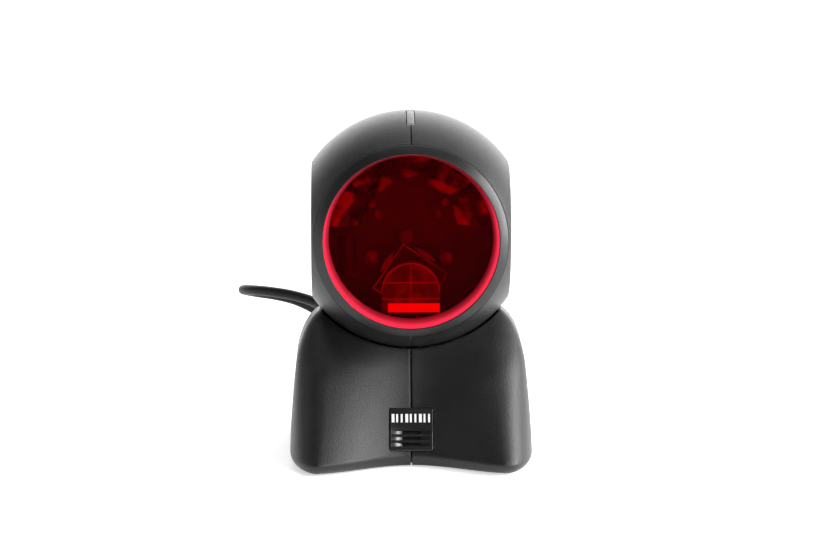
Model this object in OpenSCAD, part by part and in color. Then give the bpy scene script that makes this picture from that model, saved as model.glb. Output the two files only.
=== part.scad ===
// Presentation barcode scanner: a ball-shaped head with a round red window tilts in a flared stand.
// Frame: +Z up, the window faces -Y, the origin is on the table under the middle of the stand.

/* [Head] */
// Radius of the ball
ball_r = 51.5; // [49:0.5:54]
// Height of the ball's centre, which is on the tilt axis
ball_z = 97.5; // [96:0.5:100]
// Half the width of the head between its flat sides
flat_x = 42.4; // [41:0.2:43.4]
// Wall of the mouldings
wall = 2.4; // [2:0.1:2.8]

/* [Stand] */
// Half the width of the stand
stand_x = 52; // [50:0.5:53]
// Half the depth of the stand
stand_y = 51.5; // [50:0.5:53]
// Depth of the hollow in its front and back
stand_dent = 17; // [12:1:18]

/* [Cord] */
// Diameter of the cord
cord_d = 4.5; // [4:0.1:5]

/* [Hidden] */
$fn = 96;

seam = 0.3;                    // gap between left and right mouldings
seat_gap = 0.9;                // between the ball and the stand
seat_r = ball_r + seat_gap;
centre = [0, 0, ball_z];
black = "#2b2b2c";
pilot_r = 1.25;                // screw shanks and the holes they cut into

// Bottom plate and what it carries
plate_z = 1.2;
plate_top = 3.6;
screw_x = 38;
screw_y = 26;
foot_x = 36.5;
foot_y = 37;
insert_x = 22;

// Name plate, set into the sloping front
badge_w = 18.8;
badge_h = 18.4;
badge_z = 15.8;
badge_depth = 31.2;
badge_tilt = 22.7;
louvre_w = 17;
louvre_z = -1.3;
louvre_pitch = 2.6;
plate_front = -0.9;            // its face stands this far proud of the slope
plate_back = 1.7;
sounder_d = 12;
sounder_h = 6;
sounder_z = -2.5;
sounder_gap = 0.2;             // between the sounder and the back of the plate

// Tilt clamp under the ball
slot_half = 21;                // half the slot's angle in the ball
shoe_z = ball_z - ball_r + wall + 2.9;
web_z = 38;                    // underside of the cradle's web
cradle_x = 47.2;
cradle_y = 28.8;

// Head, in its own axes
bezel_r = 41.2;
window_r = 37.4;
light_w = 3.3;
light_from = 69;
light_to = 90;
chassis_back = -8.5;
chassis_screw_at = [[12.6, 6], [26.4, -23.6]];
chassis_front = 20;
board_post_y = [-11, 25];
mirror_angles = [-72, -36, 0, 36, 72];
motor_y = -21;
shaft_r = 1.5;
polygon_side = 24;
polygon_turn = 56;

// Cord: where it leaves the stand, then by hand to the coil behind
exit_at = [-27, 19.8, 49.6];
exit_dir = [-0.57, 0.765, 0.3] / norm([-0.57, 0.765, 0.3]);
gland_r = 4;
boot_length = 22;
cord_points = [
    [-51, 47, 58.5], [-61.5, 54, 59], [-70.5, 62, 58.3], [-75.5, 72, 56.5], [-75, 82.5, 54],
    [-70, 91, 51.3], [-62, 97, 48.8], [-53, 101.2, 45.6], [-44.5, 105, 40.8], [-36.5, 109, 34.3],
    [-29, 113.6, 26.5], [-21.5, 118.5, 17.8], [-13.2, 122.9, 10.3], [-3.5, 126, 5.2], [6, 126.8, 3.05]
];
coil_at = [8, 94, 0];
coil_r = 26.5;                   // to the middle of its turns
coil_w = 4.2 * cord_d;
coil_h = 3 * cord_d;
tie_t = 0.8;
plug_at = [12, 115, tie_t + coil_h];

// ---- stand shell, a skin swept from outlines at each height ----
shell_z0 = 0.6;                // lower edge of the shells, above the feet
side_in = 2.3;                 // how far the sides draw in up to the shoulders
side_from = 6;                 // height at which they start to
side_lean = 0.1;               // how much more they lean in above them
top_depth = 5;                 // half depth left at the very top
front_in = 27.5;               // how far front and back slope in
front_from = 5;
front_run = 41;
skin_top = 58;                 // height at which the hollow has run out
hollow_power = 1.3;
crease_at = 38.5;              // where the hollow meets the lobe, at the table
crease_in = 5.5;
shoulder_z = 40;               // where the shoulders start to round over
shoulder_h = 24;
shoulder_w = 11.5;             // how far they come in at the top
hollow_blend = 1.45;           // how softly the hollow runs into the lobes
foot_round = 5;                // rounding of the lower edge
front_steps = 10;
corner_steps = 9;
side_steps = 8;
foot_levels = [0, 0.12, 0.3, 0.6, 1];
level_steps = 13;

// Falls from 1 to 0 over the height of the shoulders
function shoulder(z) = sqrt(max(0, 1 - pow(max(z - shoulder_z, 0) / shoulder_h, 2)));
function half_width(z) = stand_x - side_lean * max(z - shoulder_z, 0)
    - side_in * pow(max(min(z, shoulder_z) - side_from, 0) / (shoulder_z - side_from), 1.5)
    - shoulder_w * (1 - shoulder(z));
function half_depth(z) = top_depth
    + (stand_y - top_depth - front_in * max(z - front_from, 0) / front_run) * shoulder(z);
function dent(z) = stand_dent * (1 - pow(z / skin_top, hollow_power));
function crease_x(z) = crease_at - crease_in * z / skin_top;
// How far the lower edge is drawn in at height z
function foot_inset(z) = let (k = 1 - (z - shell_z0) / foot_round)
    k <= 0 ? 0 : foot_round * (1 - sqrt(1 - k * k));

// Right half of the outline at height z, from the front seam round to the back seam
function outline(z, inset) = let (
        edge = foot_inset(z),
        a = half_width(z) - inset - edge,
        b = half_depth(z) - inset - edge,
        xc = crease_x(z) - inset * 0.4,
        mid = half_depth(z) - dent(z) - inset - edge * 0.3,
        rx = a - xc - 1.5,
        ry = b * 0.5,
        corner = [for (i = [0:corner_steps]) let (t = -8 + 98 * i / corner_steps)
            [a - rx + rx * sin(t), ry - b - ry * cos(t)]],
        front = [for (i = [0:front_steps - 1]) let (k = i / front_steps)
            [corner[0][0] * k, -mid - (-corner[0][1] - mid) * (1 + hollow_blend * (1 - k)) * k * k]],
        side = [for (i = [1:side_steps / 2]) let (k = i / (side_steps / 2))
            [a, (ry - b) * (1 - k)]],
        half = concat(front, corner, side))
    concat(half, [for (i = [len(half) - 2:-1:0]) [half[i][0], -half[i][1]]]);

function at_height(z, inset, i) = let (p = outline(z, inset)[i])
    [max(p[0], seam / 2), p[1], z];
// Height at which the skin line i meets the seat sphere
function rim_z(inset, i, lo = 30, hi = 63.9, n = 14) = n == 0 ? (lo + hi) / 2
    : let (m = (lo + hi) / 2)
        norm(at_height(m, inset, i) - centre) > seat_r
            ? rim_z(inset, i, m, hi, n - 1) : rim_z(inset, i, lo, m, n - 1);
function skin(inset) = let (count = len(outline(10, 0)),
        tops = [for (i = [0:count - 1]) rim_z(inset, i)])
    [for (f = foot_levels) let (z = shell_z0 + foot_round * f)
        [for (i = [0:count - 1]) at_height(z, inset, i)],
     for (j = [1:level_steps]) let (k = j / level_steps)
        [for (i = [0:count - 1]) let (z0 = shell_z0 + foot_round)
            at_height(z0 + (tops[i] - z0) * k, inset, i)]];

// Closes two skins with the same grid into one solid wall
module walled(outer, inner) {
    rows = len(outer);
    cols = len(outer[0]);
    n = rows * cols;
    points = [for (s = [outer, inner]) for (row = s) for (p = row) p];
    function id(s, j, i) = s * n + j * cols + i;
    faces = [
        for (j = [0:rows - 2]) for (i = [0:cols - 2]) each [
            [id(0, j, i), id(0, j + 1, i), id(0, j + 1, i + 1)],
            [id(0, j, i), id(0, j + 1, i + 1), id(0, j, i + 1)],
            [id(1, j, i), id(1, j + 1, i + 1), id(1, j + 1, i)],
            [id(1, j, i), id(1, j, i + 1), id(1, j + 1, i + 1)]],
        for (i = [0:cols - 2]) each [
            [id(0, 0, i), id(0, 0, i + 1), id(1, 0, i + 1)],
            [id(0, 0, i), id(1, 0, i + 1), id(1, 0, i)],
            [id(0, rows - 1, i), id(1, rows - 1, i + 1), id(0, rows - 1, i + 1)],
            [id(0, rows - 1, i), id(1, rows - 1, i), id(1, rows - 1, i + 1)]],
        for (j = [0:rows - 2]) each [
            [id(0, j, 0), id(1, j + 1, 0), id(0, j + 1, 0)],
            [id(0, j, 0), id(1, j, 0), id(1, j + 1, 0)],
            [id(0, j, cols - 1), id(0, j + 1, cols - 1), id(1, j + 1, cols - 1)],
            [id(0, j, cols - 1), id(1, j + 1, cols - 1), id(1, j, cols - 1)]]];
    polyhedron(points, faces);
}

module stand_shell() {
    difference() {
        union() {
            walled(skin(0), skin(wall));
            for (y = [-screw_y, screw_y]) translate([screw_x, y, plate_top]) {
                cylinder(d = 7, h = 13);
                translate([0, -1, 0]) cube([10.6, 2, 13]);
            }
        }
        for (y = [-screw_y, screw_y])
            translate([screw_x, y, plate_top - 1]) cylinder(r = pilot_r, h = 12);
        at_badge() cube([badge_w + 0.4, 16, badge_h + 0.4], center = true);
    }
}
module stand_right_shell() { color(black) stand_shell(); }
module stand_left_shell() {
    color(black) difference() {
        mirror([1, 0, 0]) stand_shell();
        at_exit() translate([0, 0, -8]) cylinder(r = gland_r, h = 16);
    }
}

// ---- name plate, with a sounder behind its louvres ----
// Moves children to the middle of the name plate: x right, -y outward, z up the slope
module at_badge() {
    translate([0, -badge_depth, badge_z]) rotate([-badge_tilt, 0, 0]) children();
}
module badge() {
    color(black) at_badge() difference() {
        union() {
            translate([-badge_w / 2, plate_front, -badge_h / 2])
                cube([badge_w, plate_back - plate_front, badge_h]);
            translate([0, 6, sounder_z]) rotate([90, 0, 0]) difference() {
                cylinder(d = sounder_d + 1.6, h = 5);
                translate([0, 0, -1]) cylinder(d = sounder_d + 0.1, h = 7);
            }
        }
        for (i = [0:2]) translate([0, 0, louvre_z - i * louvre_pitch]) louvre();
    }
}
module louvre() {
    rotate([90, 0, 0]) translate([0, 0, -4]) linear_extrude(8) union() {
        square([louvre_w - 1.5, 1.5], center = true);
        for (x = [-1, 1]) translate([x * (louvre_w - 1.5) / 2, 0]) circle(r = 0.75);
    }
}
module badge_mark() {
    color("white") at_badge()
        for (i = [0:8]) translate([(i - 4) * 1.95 - 0.6, -1.1, 3])
            cube([i % 3 == 0 ? 1.2 : 0.8, 0.2, 3.6]);
}
module sounder() {
    color("#202020") at_badge() translate([0, plate_back + sounder_gap + sounder_h, sounder_z])
        rotate([90, 0, 0]) cylinder(d = sounder_d, h = sounder_h);
}

// ---- inside and under the stand ----
function mirrored(half) = concat(half, [for (i = [len(half) - 1:-1:0]) [-half[i][0], half[i][1]]]);
module bottom_plate() {
    color("#262627") difference() {
        translate([0, 0, plate_z]) linear_extrude(plate_top - plate_z)
            polygon(mirrored(outline(plate_z, wall + 0.5)));
        for (x = [-screw_x, screw_x], y = [-screw_y, screw_y]) translate([x, y, 0]) {
            cylinder(r = 1.6, h = 9);
            cylinder(d = 6.2, h = plate_z + 1);
        }
        for (x = [-insert_x, insert_x]) translate([x, 0, 0]) cylinder(r = 3, h = 9);
    }
}
module stand_screws() {
    color("silver") for (x = [-screw_x, screw_x], y = [-screw_y, screw_y])
        translate([x, y, plate_z]) {
            cylinder(d = 5.6, h = 1);
            cylinder(r = pilot_r, h = 11);
        }
}
module rubber_feet() {
    color("#151515") for (x = [-foot_x, foot_x], y = [-foot_y, foot_y])
        translate([x, y, 0]) cylinder(d = 9.6, h = plate_z);
}
module mount_inserts() {
    color("goldenrod") for (x = [-insert_x, insert_x]) translate([x, 0, plate_z]) difference() {
        cylinder(r = 3, h = 6);
        translate([0, 0, -1]) cylinder(r = 2, h = 8);
    }
}
module blank_label() {
    color("lightgray") translate([-16, 8, plate_z - 0.2]) cube([32, 16, 0.2]);
}
module ballast() {
    color("gray") difference() {
        translate([-34, -17.5, plate_top]) cube([68, 35, 7]);
        translate([0, 0, plate_top - 1]) cylinder(d = 30.4, h = 9);
        for (x = [-insert_x, insert_x])
            translate([x, 0, plate_top - 1]) cylinder(r = 3.4, h = 9);
    }
}
module seat_cradle() {
    color(black) difference() {
        union() {
            intersection() {
                translate(centre) sphere(r = ball_r + 3.4);
                translate([0, 0, 50]) cube([cradle_x, cradle_y, 60], center = true);
            }
            translate([0, 0, plate_top]) cylinder(d = 30, h = 3);
            translate([0, 0, plate_top]) cylinder(d = 25, h = 40);
        }
        translate(centre) sphere(r = ball_r + 0.4);
        translate([0, 0, -1]) cylinder(d = 19, h = web_z + 1);
        cylinder(r = 2.2, h = 80);
    }
}
module interface_board() {
    color("darkgreen") difference() {
        translate([-22, 15.5, 13]) cube([44, 12, 1.6]);
        for (x = [-17, 17]) translate([x, 21.5, 12]) cylinder(r = 1.3, h = 4);
    }
}
module board_posts() {
    color("goldenrod") for (x = [-17, 17]) translate([x, 21.5, plate_top])
        cylinder(d = 5, h = 13 - plate_top, $fn = 6);
}
module board_screws() {
    color("silver") for (x = [-17, 17]) translate([x, 21.5, 13]) {
        translate([0, 0, 1.6]) cylinder(d = 4.4, h = 1.4);
        cylinder(r = 1.2, h = 1.6);
    }
}
module cord_socket() {
    color("#1c1c1c") translate([-13, 15.5, 14.6]) cube([12, 8.5, 8]);
}

// ---- tilt clamp: a bolt through the slot in the bottom of the ball ----
module tilt_shoe() {
    color("white") difference() {
        union() {
            intersection() {
                translate(centre) difference() {
                    sphere(r = ball_r - wall - 0.3);
                    sphere(r = ball_r - wall - 2.9);
                }
                cylinder(r = 12, h = ball_z);
            }
            // the key runs in the slot, and its faces turn about the tilt axis
            intersection() {
                translate([0, 0, ball_z - ball_r]) cube([5.6, 9, 12], center = true);
                translate(centre) rotate([0, 90, 0]) difference() {
                    cylinder(r = ball_r + 0.3, h = 20, center = true);
                    cylinder(r = ball_r - wall - 1, h = 30, center = true);
                }
            }
        }
        cylinder(r = 2.2, h = ball_z);
        translate([0, 0, shoe_z]) cylinder(r = 4, h = 10);
    }
}
module tilt_bolt() {
    color("silver") translate([0, 0, shoe_z]) {
        difference() {
            cylinder(d = 7.6, h = 2.4);
            translate([0, 0, 1]) cylinder(d = 3, h = 3, $fn = 6);
        }
        translate([0, 0, -26]) cylinder(r = 2, h = 26);
    }
}
module disc_springs() {
    color("silver") for (i = [0:3]) translate([0, 0, web_z - 1.6 * (i + 1)])
        rotate_extrude() polygon(i % 2 == 0
            ? [[2.3, 0.8], [2.3, 1.6], [6, 0.8], [6, 0]] : [[2.3, 0], [2.3, 0.8], [6, 1.6], [6, 0.8]]);
}
module tilt_nut() {
    color("silver") translate([0, 0, web_z - 10.6]) difference() {
        cylinder(d = 8.1, h = 4.2, $fn = 6);
        translate([0, 0, -1]) cylinder(r = 2, h = 6);
    }
}

// ---- head: x right, y up and z forward from the middle of the ball ----
module in_head() { translate(centre) rotate([90, 0, 0]) children(); }
// A slice of thickness w on the middle plane, between two angles above forward
module slice(a0, a1, w, r) {
    steps = 8;
    translate([-w / 2, 0, 0]) rotate([90, 0, 90]) linear_extrude(w)
        polygon(concat([[0, 0]], [for (i = [0:steps]) let (a = a0 + (a1 - a0) * i / steps)
            [r * sin(a), r * cos(a)]]));
}
// A slab of the ball between two flat sides
module ball_slab(r, x0, x1) {
    rotate([0, 90, 0]) intersection() {
        sphere(r = r);
        translate([0, 0, x0]) cylinder(r = 60, h = x1 - x0);
    }
}
module head_shell() {
    difference() {
        union() {
            difference() {
                ball_slab(ball_r, seam / 2, flat_x);
                ball_slab(ball_r - wall, -1, flat_x - wall);
            }
            intersection() {
                rotate([0, 90, 0]) sphere(r = ball_r - 1);
                for (p = chassis_screw_at)
                    translate([p[0], p[1], -60]) cylinder(d = 7, h = 60 + chassis_back);
            }
        }
        translate([0, 0, 24]) cylinder(r = bezel_r + 0.3, h = 40);
        slice(light_from - 0.6, light_to + 0.6, light_w + 0.5, 60);
        slice(-90 - slot_half, -90 + slot_half, 6.4, 60);
        for (p = chassis_screw_at)
            translate([p[0], p[1], chassis_back - 10]) cylinder(r = pilot_r, h = 20);
    }
}
module head_right_shell() { color(black) in_head() head_shell(); }
module head_left_shell() { color(black) in_head() mirror([1, 0, 0]) head_shell(); }
module front_bezel() {
    color(black) in_head() rotate_extrude() polygon([
        [39.4, 24.3], [bezel_r, 24.3], [bezel_r, 29.9], [bezel_r - 0.9, 30.8],
        [37.9, 33.4], [window_r, 33.2], [window_r, 32.3], [38.5, 32.3], [38.5, 30], [39.4, 30]]);
}
module scan_window() {
    color("darkred", 0.5) in_head() translate([0, 0, chassis_front]) cylinder(r = 39.9, h = 2);
}
module window_rim() {
    color("red") in_head() rotate_extrude() polygon([
        [35, chassis_front + 2], [window_r, 32.3], [38.4, 32.3], [38.4, 30.2], [36.2, chassis_front + 2]]);
}
module status_light() {
    color("whitesmoke") in_head() intersection() {
        difference() {
            sphere(r = ball_r + 0.1);
            sphere(r = ball_r - wall);
        }
        slice(light_from, light_to, light_w, 60);
    }
}
module light_board() {
    color("darkgreen") in_head() {
        translate([-5, 44.4, -5]) cube([10, 1.2, 16]);
        translate([-1.4, 45.6, 0]) cube([2.8, 1.8, 3]);
    }
}
module optical_chassis() {
    color("#3a1414") in_head() difference() {
        union() {
            translate([0, 0, chassis_back]) cylinder(r = 40, h = chassis_front - chassis_back);
            translate([-3, 39, -1]) cube([6, 5.4, 5]);
        }
        translate([0, 0, chassis_back + 2.5]) cylinder(r = 38.8, h = 40);
        for (p = chassis_screw_at, x = [-1, 1])
            translate([x * p[0], p[1], -20]) cylinder(r = 1.6, h = 20);
        translate([0, motor_y, -20]) cylinder(r = 5.1, h = 20);
    }
}
module chassis_screws() {
    color("silver") in_head() for (p = chassis_screw_at, x = [-1, 1])
        translate([x * p[0], p[1], chassis_back]) {
            translate([0, 0, 2.5]) difference() {
                cylinder(d = 5.6, h = 2);
                translate([0, 0, 1]) cylinder(d = 2.6, h = 3, $fn = 6);
            }
            translate([0, 0, -8]) cylinder(r = pilot_r, h = 10.5);
        }
}
module mirror_sector(outer) {
    intersection() {
        rotate([90, 0, 90]) translate([0, 0, -8]) linear_extrude(16) polygon(outer);
        linear_extrude(60, center = true)
            polygon([[0, 0], [-40 * tan(15), 40], [40 * tan(15), 40]]);
    }
}
module mirror_brackets() {
    color("#401818") in_head() for (a = mirror_angles) rotate([0, 0, a])
        mirror_sector([[21, chassis_back + 2.5], [36, chassis_back + 2.5], [36, chassis_back + 17.5]]);
}
module pattern_mirrors() {
    color("lightsteelblue") in_head() for (a = mirror_angles) rotate([0, 0, a])
        translate([0, 0, chassis_back + 2.5])
            mirror_sector([[21, 0], [36, 15], [35.1, 15.9], [20.1, 0.9]]);
}
module laser_module() {
    color("goldenrod") in_head() translate([-27, -3, 0]) rotate([90, 0, 0]) difference() {
        cylinder(d = 8, h = 16);
        translate([0, 0, -1]) cylinder(d = 3, h = 4);
    }
}
module laser_mount() {
    color("#401818") in_head() difference() {
        translate([-32, -16, chassis_back + 2.5]) cube([10, 10, 7]);
        translate([-27, 0, 0]) rotate([90, 0, 0]) cylinder(d = 8.04, h = 30);
    }
}
module collector_mirror() {
    color("indianred") in_head() difference() {
        translate([0, 0, 12.4]) linear_extrude(6) union() {
            intersection() {
                translate([0, -24.1]) circle(r = 12.5);
                translate([-12.5, -24.1]) square([25, 13]);
            }
            translate([-12.5, -33]) square([25, 8.9]);
        }
        translate([0, -22, 39.2]) sphere(r = 23);
    }
}
module filter_bar() {
    color("red") in_head() translate([-9.8, -32.8, 18.4]) cube([22.2, 3.6, 1.4]);
}
module photodiode_board() {
    color("darkgreen") in_head() translate([-16, -34.4, 10.5]) cube([32, 1.4, 9]);
}
module board_rests() {
    color("#401818") in_head() intersection() {
        for (x = [-9, 9]) translate([x - 1, -40, 11]) cube([2, 5.6, 6]);
        cylinder(r = 38.8, h = 40);
    }
}
module motor_board() {
    color("darkgreen") in_head() difference() {
        translate([-14, motor_y - 13, chassis_back + 2.5]) cube([28, 26, 1.4]);
        translate([0, motor_y, -20]) cylinder(r = 5.1, h = 30);
    }
}
module motor_coils() {
    color("#b87333") in_head() for (i = [0:5])
        translate([0, motor_y, chassis_back + 3.9]) rotate([0, 0, 60 * i])
            translate([8.4, 0, 0]) cylinder(d = 5.6, h = 2.8);
}
module motor_bearing() {
    color("goldenrod") in_head() translate([0, motor_y, chassis_back]) difference() {
        cylinder(r = 5.1, h = 7.4);
        translate([0, 0, -1]) cylinder(r = shaft_r + 0.03, h = 10);
    }
}
module motor_shaft() {
    color("silver") in_head() translate([0, motor_y, chassis_back]) {
        translate([0, 0, -2]) cylinder(r = shaft_r, h = 20);
        translate([0, 0, -1.5]) cylinder(r = shaft_r + 1, h = 1.2);
    }
}
module motor_rotor() {
    color("dimgray") in_head() translate([0, motor_y, -0.6]) difference() {
        cylinder(r = 13, h = 3.6);
        translate([0, 0, -1]) cylinder(r = shaft_r, h = 6);
    }
}
module polygon_mirror() {
    color("lightsteelblue") in_head() translate([0, motor_y, 3]) difference() {
        rotate([0, 0, polygon_turn]) translate([-polygon_side / 2, -polygon_side / 2, 0])
            cube([polygon_side, polygon_side, 7]);
        translate([0, 0, -1]) cylinder(r = shaft_r, h = 10);
    }
}
module main_board() {
    color("darkgreen") in_head() difference() {
        translate([-31, -16, -15.6]) cube([62, 46, 1.6]);
        for (x = [-1, 1]) translate([x * chassis_screw_at[0][0], chassis_screw_at[0][1], -20])
            cylinder(d = 9, h = 9);
        for (x = [-1, 1], y = board_post_y) translate([x * 26, y, -20]) cylinder(r = 1.3, h = 9);
    }
}
module main_board_posts() {
    color("goldenrod") in_head() for (x = [-1, 1], y = board_post_y)
        translate([x * 26, y, -14]) cylinder(d = 5, h = 14 + chassis_back, $fn = 6);
}
module main_board_screws() {
    color("silver") in_head() for (x = [-1, 1], y = board_post_y) translate([x * 26, y, 0]) {
        translate([0, 0, -17]) cylinder(d = 4.4, h = 1.4);
        translate([0, 0, -15.6]) cylinder(r = 1.2, h = 1.6);
    }
}
module main_board_chips() {
    color("#1c1c1c") in_head() {
        translate([-8, -10, -17.8]) cube([16, 12, 2.2]);
        translate([-10, 14, -17.2]) cube([9, 9, 1.6]);
        translate([6, 16, -16.8]) cube([12, 6, 1.2]);
        translate([-26, -4, -22]) cube([8, 16, 6.4]);
    }
}

// ---- cord ----
module at_exit() {
    translate(exit_at) rotate([0, acos(exit_dir[2]), atan2(exit_dir[1], exit_dir[0])]) children();
}
module cable_gland() {
    color("#161616") at_exit() {
        translate([0, 0, -4]) cylinder(r = gland_r - 0.05, h = 6);
    }
}
module strain_relief() {
    color("#161616") at_exit() translate([0, 0, 2]) cylinder(r1 = 3.9, r2 = 2.9, h = boot_length);
}
function unit(v) = v / norm(v);
// Smooth point at t in 0..1 between p[i] and p[i + 1]
function spline(p, i, t) = let (
        n = len(p),
        a = p[max(i - 1, 0)], b = p[i], c = p[i + 1], d = p[min(i + 2, n - 1)])
    0.5 * ((2 * b) + (c - a) * t + (2 * a - 5 * b + 4 * c - d) * t * t
        + (3 * b - a - 3 * c + d) * t * t * t);
module swept_tube(path, r, sides) {
    rings = len(path);
    dirs = [for (i = [0:rings - 1]) unit(path[min(i + 1, rings - 1)] - path[max(i - 1, 0)])];
    points = [for (i = [0:rings - 1]) let (
            u = unit(cross(dirs[i], [0.31, 0.17, 1])),
            v = cross(dirs[i], u))
        for (k = [0:sides - 1]) path[i] + r * (cos(360 * k / sides) * u + sin(360 * k / sides) * v)];
    polyhedron(points, concat(
        [[for (k = [0:sides - 1]) k]],
        [for (i = [0:rings - 2]) for (k = [0:sides - 1]) let (m = (k + 1) % sides)
            each [[i * sides + k, (i + 1) * sides + k, (i + 1) * sides + m],
                  [i * sides + k, (i + 1) * sides + m, i * sides + m]]],
        [[for (k = [sides - 1:-1:0]) (rings - 1) * sides + k]]));
}
module cord_run() {
    boot_end = exit_at + exit_dir * (2 + boot_length);
    points = concat([boot_end], cord_points);
    path = [for (i = [0:len(points) - 2]) for (k = [0:1]) spline(points, i, k / 2)];
    color("#161616") swept_tube(concat(path, [points[len(points) - 1]]), cord_d / 2, 8);
}
module cord_coil() {
    color("#161616") translate([coil_at[0], coil_at[1], tie_t]) rotate_extrude()
        translate([coil_r - coil_w / 2, 0]) square([coil_w, coil_h]);
}
module cord_tie() {
    color("#222222") translate(coil_at) rotate([0, 0, 320]) translate([coil_r, 0, 0])
        rotate([90, 0, 0]) linear_extrude(8, center = true) difference() {
            translate([-coil_w / 2 - 1.5, 0]) square([coil_w + 2.4, coil_h + 2 * tie_t]);
            translate([-coil_w / 2 - 0.7, tie_t]) square([coil_w + 0.8, coil_h]);
        }
}
module plug_grip() {
    color("#161616") translate(plug_at) translate([-15, -7.5, 0]) cube([30, 15, 7.6]);
}
module plug_shell() {
    color("silver") translate(plug_at) translate([15, -6, 1.5]) difference() {
        cube([16, 12, 4.5]);
        translate([2, 0.5, 2.3]) cube([20, 11, 1.7]);
    }
}

head_left_shell();
head_right_shell();
front_bezel();
scan_window();
window_rim();
status_light();
light_board();
optical_chassis();
chassis_screws();
mirror_brackets();
pattern_mirrors();
laser_module();
laser_mount();
collector_mirror();
filter_bar();
photodiode_board();
board_rests();
motor_board();
motor_coils();
motor_bearing();
motor_shaft();
motor_rotor();
polygon_mirror();
main_board();
main_board_posts();
main_board_screws();
main_board_chips();
stand_left_shell();
stand_right_shell();
badge();
badge_mark();
sounder();
seat_cradle();
tilt_shoe();
tilt_bolt();
disc_springs();
tilt_nut();
ballast();
bottom_plate();
stand_screws();
mount_inserts();
rubber_feet();
blank_label();
interface_board();
board_posts();
board_screws();
cord_socket();
cable_gland();
strain_relief();
cord_run();
cord_coil();
cord_tie();
plug_grip();
plug_shell();
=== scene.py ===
import math

import bmesh
import bpy
from mathutils import Matrix, Vector


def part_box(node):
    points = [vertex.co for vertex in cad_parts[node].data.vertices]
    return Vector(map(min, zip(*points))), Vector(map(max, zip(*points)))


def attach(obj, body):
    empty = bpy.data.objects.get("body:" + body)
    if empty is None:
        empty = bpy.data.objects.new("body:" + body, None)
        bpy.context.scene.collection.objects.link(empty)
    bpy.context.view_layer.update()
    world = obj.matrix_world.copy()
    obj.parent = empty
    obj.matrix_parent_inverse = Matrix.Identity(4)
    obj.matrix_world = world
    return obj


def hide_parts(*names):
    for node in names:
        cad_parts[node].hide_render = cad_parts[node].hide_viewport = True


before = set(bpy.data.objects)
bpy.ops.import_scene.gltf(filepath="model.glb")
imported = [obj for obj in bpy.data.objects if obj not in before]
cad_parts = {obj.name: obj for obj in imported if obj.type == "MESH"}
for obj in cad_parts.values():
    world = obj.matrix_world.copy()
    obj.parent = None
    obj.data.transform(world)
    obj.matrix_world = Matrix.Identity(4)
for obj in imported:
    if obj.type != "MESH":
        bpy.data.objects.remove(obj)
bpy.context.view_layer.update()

MM = 0.001

# Sizes shared with the CAD model, in millimetres. They are read from its boxes where a box gives them.
BALL_R = 51.5
CENTRE = Vector((0, 0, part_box("head_right_shell")[1].z / MM - BALL_R))
FLAT_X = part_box("head_right_shell")[1].x / MM
WALL = 2.4
SEAM = 0.3
STAND_SEAM = 0.6
SEAT_R = BALL_R + 0.9
STAND_X = 52
STAND_Y = 51.5
STAND_DENT = 17
SHELL_Z0 = 0.6
SHOULDER_Z = 40
SHOULDER_H = 24
SHOULDER_W = 11.5
SIDE_IN = 2.3
SIDE_FROM = 6
SIDE_LEAN = 0.1
TOP_DEPTH = 5
FRONT_IN = 27.5
FRONT_FROM = 5
FRONT_RUN = 41
SKIN_TOP = 58
HOLLOW_POWER = 1.3
CREASE_AT = 38.5
CREASE_IN = 5.5
FOOT_ROUND = 5
HOLLOW_BLEND = 1.45
BEZEL_R = 41.2
WINDOW_R = 37.3


# ---------------------------------------------------------------- helpers
def mm(*p):
    """A point given in millimetres, in metres."""
    return Vector(p) * MM


def new_object(name, mesh, material, body, smooth=True):
    """Links a mesh as a piece that rides on a body."""
    obj = bpy.data.objects.new(name, mesh)
    bpy.context.scene.collection.objects.link(obj)
    if material:
        mesh.materials.clear()
        mesh.materials.append(material)
    for face in mesh.polygons:
        face.use_smooth = smooth
    if body:
        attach(obj, body)
    return obj


def mesh_of(name, points, faces):
    """A mesh from points in millimetres."""
    mesh = bpy.data.meshes.new(name)
    mesh.from_pydata([Vector(p) * MM for p in points], [], faces)
    mesh.validate()
    return mesh


def outward(mesh):
    """Turns every face of a closed mesh to look outward."""
    bm = bmesh.new()
    bm.from_mesh(mesh)
    bmesh.ops.remove_doubles(bm, verts=bm.verts, dist=1e-7)
    bmesh.ops.recalc_face_normals(bm, faces=bm.faces)
    bm.to_mesh(mesh)
    bm.free()
    return mesh


def apply_modifiers(obj):
    """Bakes an object's modifiers into its mesh."""
    depsgraph = bpy.context.evaluated_depsgraph_get()
    baked = bpy.data.meshes.new_from_object(obj.evaluated_get(depsgraph))
    obj.modifiers.clear()
    obj.data = baked
    return obj


def bevel(obj, width, segments=3, angle=35):
    mod = obj.modifiers.new("edge", "BEVEL")
    mod.width = width * MM
    mod.segments = segments
    mod.limit_method = "ANGLE"
    mod.angle_limit = math.radians(angle)
    mod.use_clamp_overlap = True
    return apply_modifiers(obj)


def cut(obj, *cutters):
    """Cuts closed objects out of a piece and removes them."""
    for cutter in cutters:
        mod = obj.modifiers.new("cut", "BOOLEAN")
        mod.operation = "DIFFERENCE"
        mod.solver = "EXACT"
        mod.object = cutter
        apply_modifiers(obj)
        bpy.data.objects.remove(cutter, do_unlink=True)
    return obj


def sharp_shading(obj, angle=32):
    """Smooth shading that keeps edges sharper than the angle."""
    obj.data.shade_smooth()
    obj.data.set_sharp_from_angle(angle=math.radians(angle))
    return obj


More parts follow.
